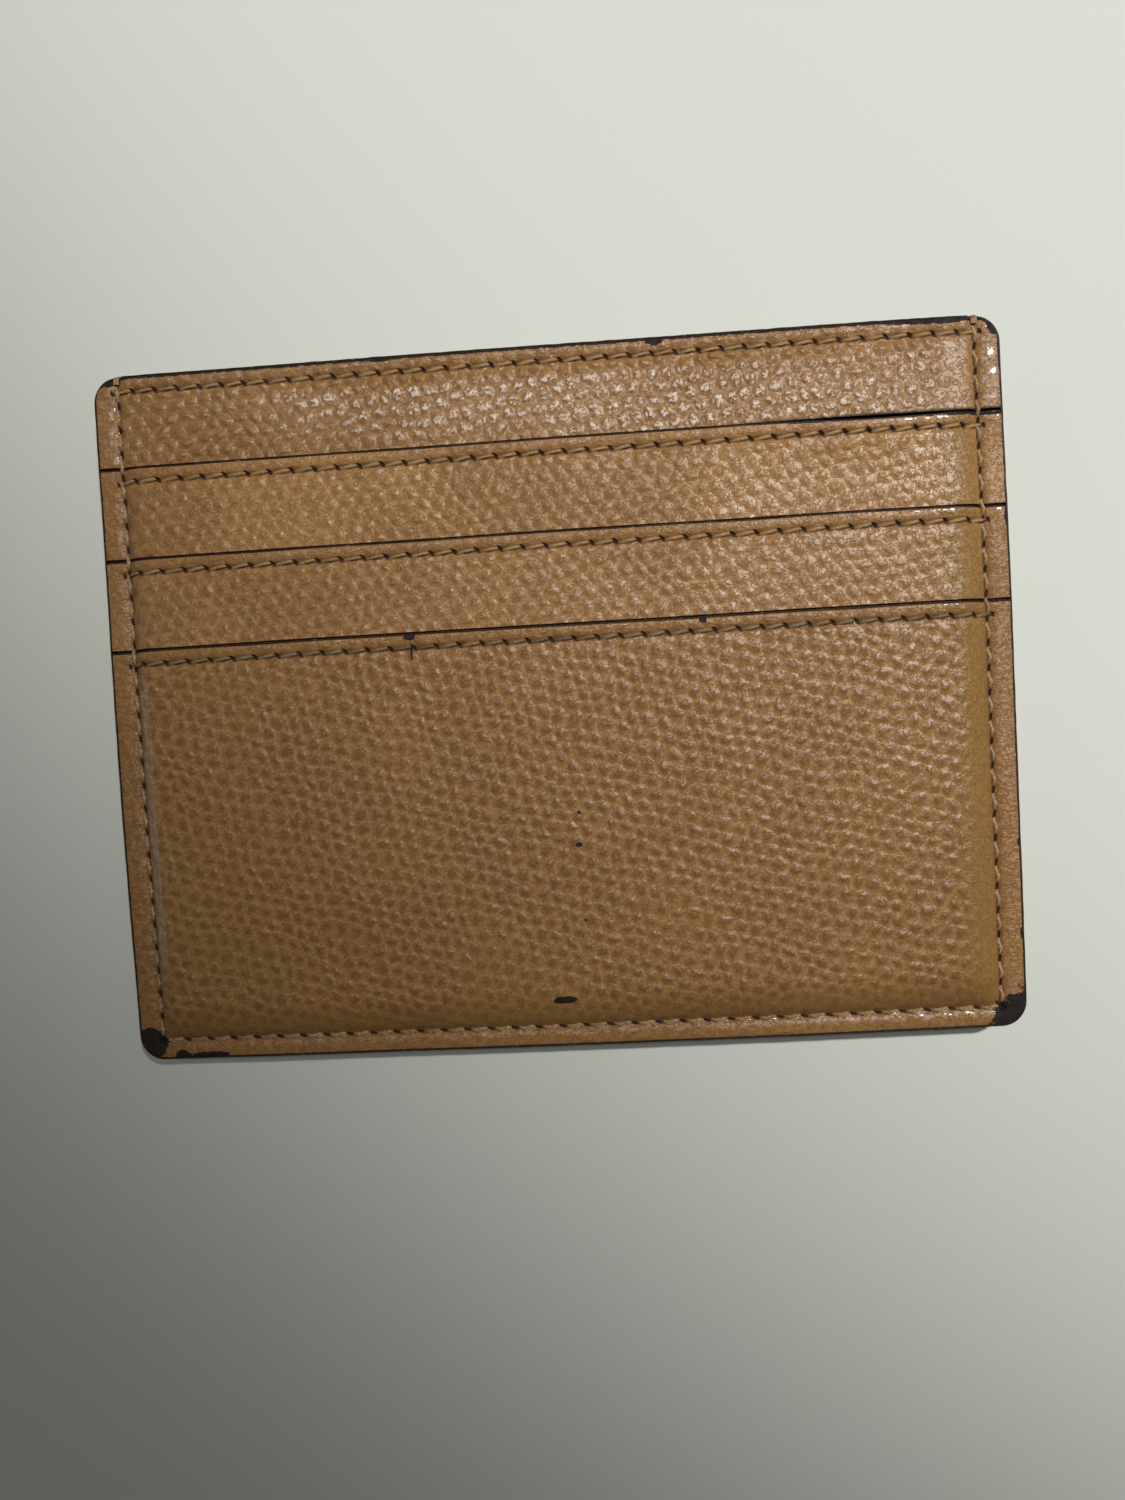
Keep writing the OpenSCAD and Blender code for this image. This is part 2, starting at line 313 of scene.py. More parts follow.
class Wire:
    # a socket of a node tree that can be used in sums
    def __init__(self, tree, socket=None):
        self.tree, self.socket = tree, socket

    def make(self, kind, settings=None, sockets=None, out=0):
        node = self.tree.nodes.new(kind)
        for key, value in (settings or {}).items():
            setattr(node, key, value)
        for key, value in (sockets or {}).items():
            if isinstance(value, Wire):
                self.tree.links.new(value.socket, node.inputs[key])
            else:
                node.inputs[key].default_value = value
        return Wire(self.tree, node.outputs[out])

    def sum(self, operation, a, b=0.0):
        # vector maths where either side is a vector, else plain maths
        if any(isinstance(w, Wire) and w.socket.type == "VECTOR" for w in (a, b)):
            a, b = (w if isinstance(w, Wire) or hasattr(w, "__len__") else (w, w, w) for w in (a, b))
            return self.make("ShaderNodeVectorMath", {"operation": operation}, {0: a, 1: b})
        return self.make("ShaderNodeMath", {"operation": operation}, {0: a, 1: b})

    def __add__(self, other):
        return self.sum("ADD", self, other)

    def __radd__(self, other):
        return self.sum("ADD", other, self)

    def __sub__(self, other):
        return self.sum("SUBTRACT", self, other)

    def __rsub__(self, other):
        return self.sum("SUBTRACT", other, self)

    def __mul__(self, other):
        return self.sum("MULTIPLY", self, other)

    def __rmul__(self, other):
        return self.sum("MULTIPLY", other, self)

    def __truediv__(self, other):
        return self.sum("DIVIDE", self, other)

    def __abs__(self):
        return self.sum("ABSOLUTE", self)

    def least(self, other):
        return self.sum("MINIMUM", self, other)

    def most(self, other):
        return self.sum("MAXIMUM", self, other)

    def length(self):
        return self.make("ShaderNodeVectorMath", {"operation": "LENGTH"}, {0: self}, "Value")

    def ramp(self, low, high, toLow=0.0, toHigh=1.0):
        # smooth step from low to high
        return self.make(
            "ShaderNodeMapRange", {"interpolation_type": "SMOOTHSTEP"},
            {"Value": self, "From Min": low, "From Max": high, "To Min": toLow, "To Max": toHigh})

    def noise(self, scale, detail=3.0, rough=0.5):
        # fractal noise about 0.5 over a place in millimetres
        return self.make("ShaderNodeTexNoise", {"noise_dimensions": "3D"},
                         {"Vector": self, "Scale": scale, "Detail": detail, "Roughness": rough})

    def mixed(self, a, b):
        # colour a where this mask is 0, b where it is 1
        return self.make("ShaderNodeMix", {"data_type": "RGBA"}, {0: self, 6: a, 7: b}, 2)

    def size(self):
        # each axis without its sign
        return self.make("ShaderNodeVectorMath", {"operation": "ABSOLUTE"}, {0: self})

    def axes(self):
        node = self.make("ShaderNodeSeparateXYZ", None, {0: self}).socket.node
        return [Wire(self.tree, s) for s in node.outputs]


def colour(r, g, b):
    return (r, g, b, 1.0)


def newMaterial(name, fixed):
    # a Principled material with its constant sockets set
    material = bpy.data.materials.new(name)
    material.use_nodes = True
    tree = material.node_tree
    shader = tree.nodes["Principled BSDF"]
    for key, value in fixed.items():
        shader.inputs[key].default_value = value
    return material, Wire(tree), shader


def feed(wire, shader, key):
    wire.tree.links.new(wire.socket, shader.inputs[key])


def planOf(wire):
    return wire.make("ShaderNodeAttribute", {"attribute_name": "plan"}, None, "Vector")


def bumped(wire, height, far):
    # a height of 1 stands for far, in millimetres
    return wire.make("ShaderNodeBump", None, {"Height": height, "Distance": far * mm}, "Normal")


# Four values go from the top strip down to the pocket panel, and two are the ends of a fade. Depths and
# places are in millimetres
tan = dict(
    # one leather: the four base tans differ only as painted light and shade, slot 1's strip lightest and
    # the pocket panel darkest
    base=(
        colour(0.300, 0.156, 0.056), colour(0.340, 0.175, 0.060),
        colour(0.310, 0.158, 0.052), colour(0.275, 0.136, 0.040)),
    warm=colour(0.250, 0.118, 0.034), pale=colour(0.370, 0.205, 0.085), ridgeHighlight=colour(0.37, 0.26, 0.155),
    band=colour(0.235, 0.125, 0.027), top=colour(0.150, 0.068, 0.016), grooveShade=colour(0.160, 0.078, 0.030),
    stitchShade=colour(0.018, 0.008, 0.004), paint=colour(0.012, 0.0045, 0.0035),
    pitch=1.70, stripAngle=8.0, panelAngle=-16.0,    # the embossed grain: six-sided, turned per piece
    grainDrift=3.0, driftScale=0.17,
    grainDeep=(0.24, 0.13, 0.11, 0.115), fineDeep=0.04, foldDeep=0.17, creaseDeep=0.05, holeDeep=0.16,
    # shares of the painted dark reflection on the pebble tops and the painted sheen on the net, per ply
    darkReflectionTone=(0.0, 0.2, 0.35, 0.6), netSheenTone=(0.0, 0.15, 0.3, 0.45),   # darker pebbles, paler net
    glintScale=(2.0, 2.4, 2.4, 2.4),
    glintLow=(0.44, 0.49, 0.49, 0.49), glintHigh=(0.58, 0.62, 0.62, 0.62),
    roughness=0.42, specular=0.5, coat=(1.0, 0.8, 0.8, 0.8), coatRoughness=0.11,
    bandLeft=(40.8, 43.2), bandShare=0.6,            # the smooth, darker band before the right seam
    grainFade=(41.2, 44.6), hemFade=(-34.6, -31.5),  # where the grain fades out to the right and below
    ridgeLow=(-34.5, -24.0), ridgeHigh=(5.5, 2.5), ridgeRight=(3.1, 2.0),
    rimLap=0.22, topLap=0.5, edgeLap=0.12, openLap=(0.10, 0.62), lapAt=(20.0, 32.0),
    # where the painted shade in slot 1's mouth lies on the top strip
    mouthShadeAt=(12.0, 34.0), mouthShadeUp=(0.55, 0.12),
)

# Smears of edge paint and dark spots: centre x, y and half sizes, in millimetres
frontMarks = [
    (-47.2, 37.5, 1.3, 0.6), (48.7, 37.2, 1.3, 1.3), (48.9, 34.6, 0.3, 2.8), (42.0, 37.95, 6.2, 0.7),
    (12.6, 37.5, 0.9, 0.45), (-17.0, 37.7, 1.4, 0.3), (24.0, 37.8, 0.9, 0.3), (49.3, -38.3, 4.2, 4.6),
    (-47.8, -36.3, 1.9, 1.9), (-44.1, -37.7, 1.1, 0.8), (-41.0, -38.0, 2.7, 0.8),
    (-0.8, -32.4, 1.35, 0.42), (1.9, -12.1, 0.22, 0.2), (1.7, -15.6, 0.35, 0.25),
    (2.0, -23.8, 0.18, 0.15), (-15.2, 7.6, 0.65, 0.4), (-15.1, 5.9, 0.12, 0.9), (48.9, -18.0, 0.4, 0.5),
    (49.0, -27.8, 0.5, 0.9), (48.9, 16.8, 0.4, 1.3), (16.1, 7.5, 0.45, 0.35),
]
backMarks = [
    (47.4, 37.3, 1.4, 0.7), (-48.4, 36.4, 0.7, 1.6), (-48.6, -37.4, 2.4, 2.6), (48.0, -36.8, 1.6, 1.4),
    (-31.0, -37.9, 2.2, 0.6), (18.0, -37.9, 1.3, 0.5), (-49.0, -8.0, 0.4, 1.3), (22.5, -20.5, 0.9, 0.35),
    (-12.0, 2.5, 0.3, 0.25), (30.0, 7.6, 1.0, 0.3), (-26.0, 17.7, 0.8, 0.3),
]


farAway = 9.0                                        # further than any cell's centre or mark's middle


def pebbles(at, degrees):
    # six-sided cells: domes from 0 to 1, and a net along their edges
    drift = at.make(
        "ShaderNodeTexNoise", None,
        {"Vector": at, "Scale": tan["driftScale"], "Detail": 3.0, "Roughness": 0.62}, "Color")
    drift = drift.make("ShaderNodeVectorMath", {"operation": "SUBTRACT"}, {0: drift, 1: (0.5, 0.5, 0.5)})
    turned = at.make(
        "ShaderNodeVectorRotate", {"rotation_type": "Z_AXIS"},
        {"Vector": at + drift * tan["grainDrift"], "Angle": -math.radians(degrees)})
    turned = turned * (1 / tan["pitch"])
    half = Vector((0.5, math.sqrt(3) / 2, 1.0))
    centre, edge = farAway, farAway
    for start in (turned, turned + half):
        cell = start.make("ShaderNodeVectorMath", {"operation": "WRAP"}, {0: start, 1: half, 2: -half})
        cell = cell.size() * (1.0, 1.0, 0.0)
        slanted = cell.make(
            "ShaderNodeVectorMath", {"operation": "DOT_PRODUCT"}, {0: cell, 1: half}, "Value")
        centre = cell.length().least(centre)
        edge = slanted.most(cell.axes()[0]).least(edge)
    return centre.ramp(0.44, 0.06), edge.ramp(0.36, 0.5)


def slitMask(along, across, holes, lean, longHalf, wideHalf):
    # leaning slits, one at each needle hole of a row
    start, pitch = holes[0], holes[1] - holes[0]
    phase = (along - start) / pitch + 0.5
    near = (phase - phase.sum("FLOOR", phase) - 0.5) * pitch
    c, s = math.cos(math.radians(lean)), math.sin(math.radians(lean))
    u, v = near * c + across * s, across * c - near * s
    reach = u.make("ShaderNodeCombineXYZ", None, {0: u / longHalf, 1: v / wideHalf, 2: 0.0}).length()
    return reach.ramp(1.2, 0.65)


def stitchShadow(along, across, holes):
    # a painted shadow: the thin dark line under the raised end of each slanting stitch
    start, pitch = holes[0], holes[1] - holes[0]
    phase = (along - start) / pitch
    near = (phase - phase.sum("FLOOR", phase) - 0.5) * pitch
    off = across - near * math.tan(math.radians(row["slant"])) + row["thick"] * 0.52
    return (off * off).ramp(0.012, 0.0) * near.ramp(-0.5, 0.3)


def leatherMaterial(name, k, marks, seed):
    material, wire, shader = newMaterial(name, {
        "Coat Roughness": tan["coatRoughness"], "Coat IOR": 1.5,
        "IOR": 1.45, "Specular IOR Level": tan["specular"]})
    at = planOf(wire)
    x, y, z = at.axes()
    moved = at + (seed, seed * 0.7, k * 9.0)
    wide = abs(x)
    ragged = moved.noise(1.3, 3.0, 0.65)
    patches = moved.noise(0.07, 2.0)
    fine = moved.noise(3.0, 2.0, 0.65)
    glint = (moved + (0.0, 0.0, 20.0)).noise(tan["glintScale"][k], 2.0, 0.6)
    glint = glint.ramp(tan["glintLow"][k], tan["glintHigh"][k])

    # the grain fades on the right band, over the lips and borders and at the bottom hem
    bumps, net = pebbles(moved, tan["panelAngle"] if k == pocket else tan["stripAngle"])
    creases = abs(ragged - 0.5).ramp(0.03, 0.0)
    streaks = (moved * (0.5, 2.2, 1.0)).noise(1.4, 2.0, 0.6).ramp(0.35, 0.65)
    onBorder = wide.ramp(seamX - 0.4, seamX + 0.4)
    onLip = (y - rowY[k]).ramp(-0.3, 0.4)
    grain = patches.ramp(0.25, 0.55, 0.7, 1.0) * x.ramp(*tan["grainFade"], 1.0, 0.12)
    grain = grain * (1.0 - onBorder.most(onLip) * 0.55)
    if k == pocket:
        grain = grain * y.ramp(*tan["hemFade"], 0.35, 1.0)
    folds = (moved * (0.8, 1.3, 0.0) + (0.0, 0.0, 4.0)).noise(1.7, 3.0, 0.65)
    foldShare = onLip.most(onBorder) * 0.75 + 0.25

    # needle holes and the groove along the stitches, painted dark as shade, with a painted shadow under
    # each stitch
    inRow = wide.ramp(rowEnd + 0.1, rowEnd - 0.1)
    up = y - rowY[k]
    holes = slitMask(x, up, rowHoles, row["slitLean"], row["slitLong"], row["slitWide"])
    holes = holes.most(stitchShadow(x, up, rowHoles) * 0.85) * inRow
    side = wide - seamX
    slits = slitMask(y, side, sideHoles, seam["slitLean"], seam["slitLong"], seam["slitWide"])
    holes = holes.most(slits * y.ramp(seamLow - 0.6, seamLow - 0.3))
    groove = ((up * up).ramp(0.20, 0.0) * inRow).most((side * side).ramp(0.22, 0.0))
    if k == pocket:
        low = y - seamLow
        inBase = wide.ramp(seamX + 0.5, seamX + 0.3)
        slits = slitMask(x, low, baseHoles, seam["baseLean"], seam["baseLong"], seam["baseWide"])
        holes = holes.most(slits * inBase)
        groove = groove.most((low * low).ramp(0.18, 0.0) * inBase)

    # colour: tan with drifts, darker pebbles in a paler net as painted reflection and sheen, painted
    # shade in the needle holes and along the stitches
    skin = patches.ramp(0.40, 0.66, 0.0, 0.7).mixed(tan["base"][k], tan["warm"])
    # the paler net is painted sheen and the darker pebble tops a painted dark reflection, both stronger
    # towards the pocket panel
    skin = (net * grain * (streaks * 0.7 + 0.3) * tan["netSheenTone"][k]).mixed(skin, tan["pale"])
    skin = (bumps.ramp(0.1, 0.7) * grain * (ragged + 0.5) * tan["darkReflectionTone"][k]).mixed(skin, tan["top"])
    skin = (creases * 0.25).mixed(skin, tan["pale"])
    skin = ragged.ramp(0.52, 0.75, 0.0, 0.4).mixed(skin, tan["pale"])
    if k > 0:
        band = x.ramp(*tan["bandLeft"]) * x.ramp(seamX - 0.3, seamX - 1.0)
        skin = (band * tan["bandShare"]).mixed(skin, tan["band"])
    # painted shade along the stitch grooves of the rows and seams
    skin = (groove * 0.5).mixed(skin, tan["grooveShade"])
    ridgeHighlight = 0.0
    if k == pocket:
        # a painted highlight on the fold beside the left seam
        slanting = at.make("ShaderNodeCombineXYZ", None, {0: x * 2.0 + y, 1: y * 0.6, 2: z})
        slanting = slanting.noise(2.2, 3.0, 0.6)
        right, left = tan["ridgeRight"]
        ridgeHighlight = x.ramp(0.35 - seamX, 0.8 - seamX) * (x + slanting * 1.2).ramp(right - seamX, left - seamX)
        ridgeHighlight = ridgeHighlight * y.ramp(*tan["ridgeLow"]) * y.ramp(*tan["ridgeHigh"])
        skin = (ridgeHighlight * slanting.ramp(0.3, 0.6, 0.35, 0.75)).mixed(skin, tan["ridgeHighlight"])
    # painted shade in the needle holes and painted shadow under each stitch
    skin = holes.mixed(skin, tan["stitchShade"])

    # edge paint lapping over the cut edges, the smears, and painted shade in slot 1's mouth
    r = shape["cornerR"] - paintT
    corner = at.size() - (halfW - paintT - r, halfH - paintT - r, 50.0)
    outX, outY = corner.axes()[:2]
    fromRim = r - corner.most((0.0, 0.0, 0.0)).length() - outX.most(outY).least(0.0)
    rimLap = y.ramp(36.5, 37.2, tan["rimLap"], tan["topLap"]) if k == 0 else tan["rimLap"]
    dark = (fromRim - ragged * rimLap).ramp(0.04, -0.05)
    fromEdge = slotEdge[k] - paintT - y
    edgeLap = x.ramp(*tan["lapAt"], *tan["openLap"]) if k == 1 else tan["edgeLap"]
    dark = dark.most((fromEdge - ragged * edgeLap).ramp(0.02, -0.06))
    if k == 0:
        # painted shade down in the mouth of slot 1, where it gapes, in the edge paint's colour
        dark = dark.most((y - slotEdge[1]).ramp(*tan["mouthShadeUp"]) * x.ramp(*tan["mouthShadeAt"]))
    low = -halfH - 1 if k == pocket else slotEdge[k + 1] - 1
    away = farAway
    for markX, markY, wideR, tallR in marks:
        if low < markY < slotEdge[k] + 1:
            away = ((at - (markX, markY, 0.0)) * (1 / wideR, 1 / tallR, 0.0)).length().least(away)
    if away is not farAway:
        dark = dark.most((away + (ragged - 0.5) * 0.9).ramp(1.06, 0.94))
    skin = dark.mixed(skin, tan["paint"])
    feed(skin, shader, "Base Color")

    feed(tan["roughness"] + (patches - 0.5) * 0.3 + holes * 0.4 + dark * 0.35, shader, "Roughness")
    # glossy spots on the pebbles and folds, fewer of them just below the stitches
    gloss = (bumps.ramp(0.1, 0.45, 0.05, 1.0) * grain).most(foldShare * (0.5 - onBorder * 0.2)) * glint
    below = up + 0.8
    gloss = gloss * (below * below).ramp(0.3, 1.2, 0.15, 1.0)
    feed(tan["coat"][k] * (1.0 - holes.most(dark)) * gloss.most(ridgeHighlight * 0.45), shader, "Coat Weight")

    height = (bumps - net * 0.2) * grain * tan["grainDeep"][k]
    height = height + fine * (1.0 - onBorder * 0.5) * tan["fineDeep"]
    height = height + folds * foldShare * tan["foldDeep"]
    height = height - creases * tan["creaseDeep"] - holes * tan["holeDeep"]
    feed(bumped(wire, height, 1.0), shader, "Normal")
    return material


bead = dict(
    deep=colour(0.016, 0.006, 0.005), light=colour(0.055, 0.018, 0.014), bare=colour(0.16, 0.08, 0.04),
    specular=0.22, lumps=0.12,
    step=0.45, sunk=0.09,                            # a slot's bead stays below the rounded leather
    rough=0.03, edgeRough=0.06, edgeRound=0.07,
    rimOver=0.03, rimRough=0.035, dome=0.10, rimStep=0.55, turnSteps=9,
)


def edgePaintMaterial():
    material, wire, shader = newMaterial(
        "edgePaint", {"IOR": 1.5, "Specular IOR Level": bead["specular"]})
    at = planOf(wire)
    lumps = at.noise(0.9, 4.0, 0.6)
    skin = lumps.ramp(0.5, 0.8, 0.0, 0.7).mixed(bead["deep"], bead["light"])
    skin = at.noise(1.7, 3.0).ramp(0.66, 0.72).mixed(skin, bead["bare"])
    feed(skin, shader, "Base Color")
    feed(lumps.ramp(0.3, 0.7, 0.5, 0.7), shader, "Roughness")
    feed(bumped(wire, lumps + at.noise(5.0, 2.0) * 0.3, bead["lumps"]), shader, "Normal")
    return material


def threadMaterial(name, light, deep, grime):
    material, wire, shader = newMaterial(name, {"IOR": 1.5, "Specular IOR Level": 0.3})
    at = planOf(wire)
    fibres = at.noise(6.5, 3.0, 0.6)
    wear = at.noise(0.22, 3.0, 0.6)
    skin = fibres.ramp(0.3, 0.7).mixed(deep, light)
    skin = wear.ramp(0.45, 0.68, 0.0, grime).mixed(skin, colour(0.05, 0.032, 0.02))
    feed(skin, shader, "Base Color")
    feed(fibres.ramp(0.2, 0.8, 0.35, 0.6), shader, "Roughness")
    feed(bumped(wire, fibres, 0.05), shader, "Normal")
    return material


lining = dict(
    clear=0.35, step=1.2, footClear=0.02, foot=3.0, run=3.5,
    weave=0.42, deep=colour(0.13, 0.075, 0.042), light=colour(0.24, 0.145, 0.085),
)


def liningMaterial():
    # fine plain weave
    material, wire, shader = newMaterial("lining", {"Sheen Weight": 0.2})
    at = planOf(wire)
    x, y = at.axes()[:2]
    turn = math.tau / lining["weave"]
    weave = wire.sum("SINE", x * turn) * wire.sum("SINE", y * turn) * 0.5 + 0.5
    worn = at.noise(1.2, 3.0).ramp(0.3, 0.7, 0.7, 1.0)
    feed((weave * worn).mixed(lining["deep"], lining["light"]), shader, "Base Color")
    feed(weave.ramp(0.0, 1.0, 0.85, 0.7), shader, "Roughness")
    feed(bumped(wire, weave, 0.03), shader, "Normal")
    return material


board = dict(deep=colour(0.30, 0.25, 0.18), light=colour(0.50, 0.44, 0.34))


def boardMaterial():
    material, wire, shader = newMaterial("fibreBoard", {"IOR": 1.4})
    at = wire.make("ShaderNodeTexCoord", None, None, "Object") * (1 / mm)
    fleck = (at * (0.6, 2.4, 1.0)).noise(1.5, 4.0, 0.65)
    feed(fleck.ramp(0.3, 0.7).mixed(board["deep"], board["light"]), shader, "Base Color")
    feed(fleck.ramp(0.2, 0.8, 0.8, 0.95), shader, "Roughness")
    feed(bumped(wire, fleck, 0.05), shader, "Normal")
    return material


print("materials")
paintSkin = edgePaintMaterial()
liningSkin = liningMaterial()
boardSkin = boardMaterial()
rowSkin = threadMaterial(
    "rowThread", light=colour(0.40, 0.235, 0.10), deep=colour(0.20, 0.105, 0.04), grime=0.3)
pocketRowSkin = threadMaterial(
    "pocketRowThread", light=colour(0.27, 0.175, 0.09), deep=colour(0.12, 0.072, 0.034), grime=0.6)
seamSkin = threadMaterial(
    "seamThread", light=colour(0.47, 0.30, 0.135), deep=colour(0.17, 0.088, 0.034), grime=0.3)


def buildPly(side, k):
    node = side + "_" + plyNodes[k]
    right, top = halfW - paintT, slotEdge[k] - paintT
    linesY = [rowY[k] - 0.2, rowY[k], rowY[k] + 0.2, top - 0.15]
    if k == pocket:
        low = paintT - halfH
        linesY += [seamLow - 0.2, seamLow, seamLow + 0.2]
    else:
        nextEdge = slotEdge[k + 1] + shape["mouthGap"]
        low = span(node, 1)[0]
        linesY += [nextEdge, nextEdge - 0.08]
    linesX = [s * (seamX + d) for s in (-1, 1) for d in (-0.2, 0.0, 0.2)]
    bm = sheetGrid(-right, right, low, top, shape["step"], linesX, linesY)
    if k != pocket:
        # the flap behind the next slot is narrower than the arms on the border
        arms = [f for f in bm.faces if f.calc_center_median().y < nextEdge - 0.02
                and abs(f.calc_center_median().x) > liningX]
        bmesh.ops.delete(bm, geom=arms, context="FACES")

    def topAt(x, y):
        if k != pocket and y < nextEdge - 0.04:
            return bodyHeight(k, x, y) - leatherT + shape["flapT"]
        return leatherTop(k, x, y)

    upper = thicken(bm, topAt, lambda x, y: bodyHeight(k, x, y) - leatherT)
    for v in bm.verts:
        pull = lipPull(k, v.co.x) * soft(1 - (top - v.co.y) / 2.5)
        v.co.x, v.co.y = roundCorner(v.co.x, v.co.y - pull, k == 0, k == pocket)
    roundEdges(bm, rimOf(bm, upper), shape["edgeRound"])
    marks, seed = (frontMarks, 0.0) if side == "front" else (backMarks, 37.0)
    skin = leatherMaterial(node + "Leather", k, marks, seed)
    return finishPiece(bm, node + "_leather", side, skin, [node])


def buildEdgePaint(side, k):
    node = side + "_" + paintNodes[k]
    # the top bead also covers the board and the centre lining, and ends where the sides are pinched
    reach = span(node, 0)[1]
    top = slotEdge[k]
    deep = borderTop if k == 0 else leatherT + liningT
    bm = sheetGrid(-reach, reach, top - paintT, top, bead["step"], (), [top - paintT / 2])
    sunk = 0.0 if k == 0 else bead["sunk"]

    def topAt(x, y):
        rough = bead["rough"] * noise.noise(Vector((x / 1.3, y, k)))
        return leatherTop(k, x, top - paintT) - sunk + rough

    thicken(bm, topAt, lambda x, y: bodyHeight(k, x, top) - deep)
    for v in bm.verts:
        outer = v.co.y > top - paintT / 2
        v.co.y -= lipPull(k, v.co.x)
        if outer:
            v.co.y += bead["edgeRough"] * (noise.noise(Vector((v.co.x / 1.4, 4.0, k))) - 0.5)
    lengthwise = [e for e in bm.edges if len(e.link_faces) == 2 and e.calc_face_angle() > 1.0
                  and abs(e.verts[0].co.x - e.verts[1].co.x) > 0.1]
    roundEdges(bm, lengthwise, bead["edgeRound"])
    return finishPiece(bm, node + "_bead", side, paintSkin, [node])


def buildRimPaint():
    # a rounded bar swept down one side, along the bottom and up the other
    r, w, h = shape["cornerR"], halfW, halfH
    start, tall = span("front_top_edge_paint", 0)[1], borderTop + bead["rimOver"]

    # its first end: a flat grid stood up across the paint and joined into one face
    bm = bmesh.new()
    bmesh.ops.create_grid(bm, x_segments=2, y_segments=8, size=0.5)
    stand = Matrix.Rotation(math.pi / 2, 4, "Y") @ Matrix.Rotation(math.pi / 2, 4, "Z")
    stand = Matrix.Diagonal((1, paintT, 2 * tall, 1)) @ stand
    place = Matrix.Translation((-start, h - paintT / 2, 0)) @ stand
    bmesh.ops.transform(bm, matrix=place, verts=bm.verts)
    bmesh.ops.dissolve_faces(bm, faces=bm.faces[:])

    def run(edges, move):
        count = max(1, round(move.length / bead["rimStep"]))
        for i in range(count):
            out = bmesh.ops.extrude_edge_only(bm, edges=edges)["geom"]
            edges = [g for g in out if isinstance(g, bmesh.types.BMEdge)]
            verts = {v for e in edges for v in e.verts}
            bmesh.ops.translate(bm, vec=move / count, verts=list(verts))
        return edges

    def turn(edges, centre):
        out = bmesh.ops.spin(bm, geom=edges, cent=centre, axis=(0, 0, 1), angle=math.pi / 2,
                             steps=bead["turnSteps"])["geom_last"]
        return [g for g in out if isinstance(g, bmesh.types.BMEdge)]

    edges = run(bm.edges[:], Vector((start - w + r, 0, 0)))
    edges = turn(edges, (r - w, h - r, 0))
    edges = run(edges, Vector((0, 2 * r - 2 * h, 0)))
    edges = turn(edges, (r - w, r - h, 0))
    edges = run(edges, Vector((2 * w - 2 * r, 0, 0)))
    edges = turn(edges, (w - r, r - h, 0))
    edges = run(edges, Vector((0, 2 * h - 2 * r, 0)))
    edges = turn(edges, (w - r, h - r, 0))
    edges = run(edges, Vector((start - w + r, 0, 0)))
    bmesh.ops.contextual_create(bm, geom=edges)
    bmesh.ops.remove_doubles(bm, verts=bm.verts, dist=1e-4)
    bmesh.ops.recalc_face_normals(bm, faces=bm.faces)
    for v in bm.verts:
        # domes the bar, and makes its outer line a little uneven
        cx, cy = max(-w + r, min(w - r, v.co.x)), max(-h + r, min(h - r, v.co.y))
        out = Vector((v.co.x - cx, v.co.y - cy, 0))
        if out.length < 1e-6:
            out = Vector((math.copysign(1, v.co.x), 0, 0))
        out.normalize()
        uneven = bead["rimRough"] * noise.noise(Vector((v.co.x / 1.6, v.co.y / 1.6, v.co.z / 2)))
        v.co += out * (uneven - bead["dome"] * (abs(v.co.z) / tall) ** 6)
    return finishPiece(bm, "rim_paint_bead", "front", paintSkin, ["rim_edge_paint"])


thread = dict(strandR=0.32, cuts=5, slim=0.35, sink=0.55)


def stitchProto(longer, thick, strands, turns, sides):
    # one stitch along X that sinks at both ends, of one strand or of twisted ones
    bm = bmesh.new()
    strandR = thick / 2 if strands == 1 else thick * thread["strandR"]
    orbit = thick / 2 - strandR
    for s in range(strands):
        before = set(bm.verts)
        bmesh.ops.create_cone(bm, cap_ends=True, segments=sides, radius1=strandR, radius2=strandR,
                              depth=longer, matrix=Matrix.Rotation(math.pi / 2, 4, "Y"))
        lengthwise = [e for e in bm.edges if e.verts[0] not in before
                      and abs(e.verts[0].co.x - e.verts[1].co.x) > longer / 2]
        bmesh.ops.subdivide_edges(bm, edges=lengthwise, cuts=thread["cuts"])
        for v in bm.verts:
            if v in before:
                continue
            t = 2 * v.co.x / longer
            angle = math.tau * s / strands + turns * math.pi * t
            slim = 1 - thread["slim"] * abs(t) ** 3
            v.co.y = v.co.y * slim + orbit * math.cos(angle)
            v.co.z = v.co.z * slim + orbit * math.sin(angle) - thread["sink"] * thick * abs(t) ** 3
    mesh = bpy.data.meshes.new("stitch")
    bm.to_mesh(mesh)
    bm.free()
    return mesh


def addStitch(bm, proto, centre, heading, lean=0.0):
    # lays a stitch at a place, turned to a heading in the plan and tipped with the surface
    before = len(bm.verts)
    bm.from_mesh(proto)
    bm.verts.ensure_lookup_table()
    fresh = bm.verts[before:]
    place = Matrix.Translation(centre) @ Matrix.Rotation(heading, 4, "Z") @ Matrix.Rotation(-lean, 4, "Y")
    bmesh.ops.transform(bm, matrix=place, verts=fresh)


rowProto = stitchProto(row["pitch"] - row["gap"], row["thick"], 1, 0, row["sides"])
seamProto = stitchProto(seam["pitch"] - seam["gap"], seam["thick"], 2, seam["turns"], seam["sides"])

wrap = dict(
    threads=3, r=0.12, apart=0.21, stacked=0.02,     # the threads lie side by side, each a little higher
    bend=0.55, raised=0.4, back=0.25, end=0.02, sides=7, steps=4,
)


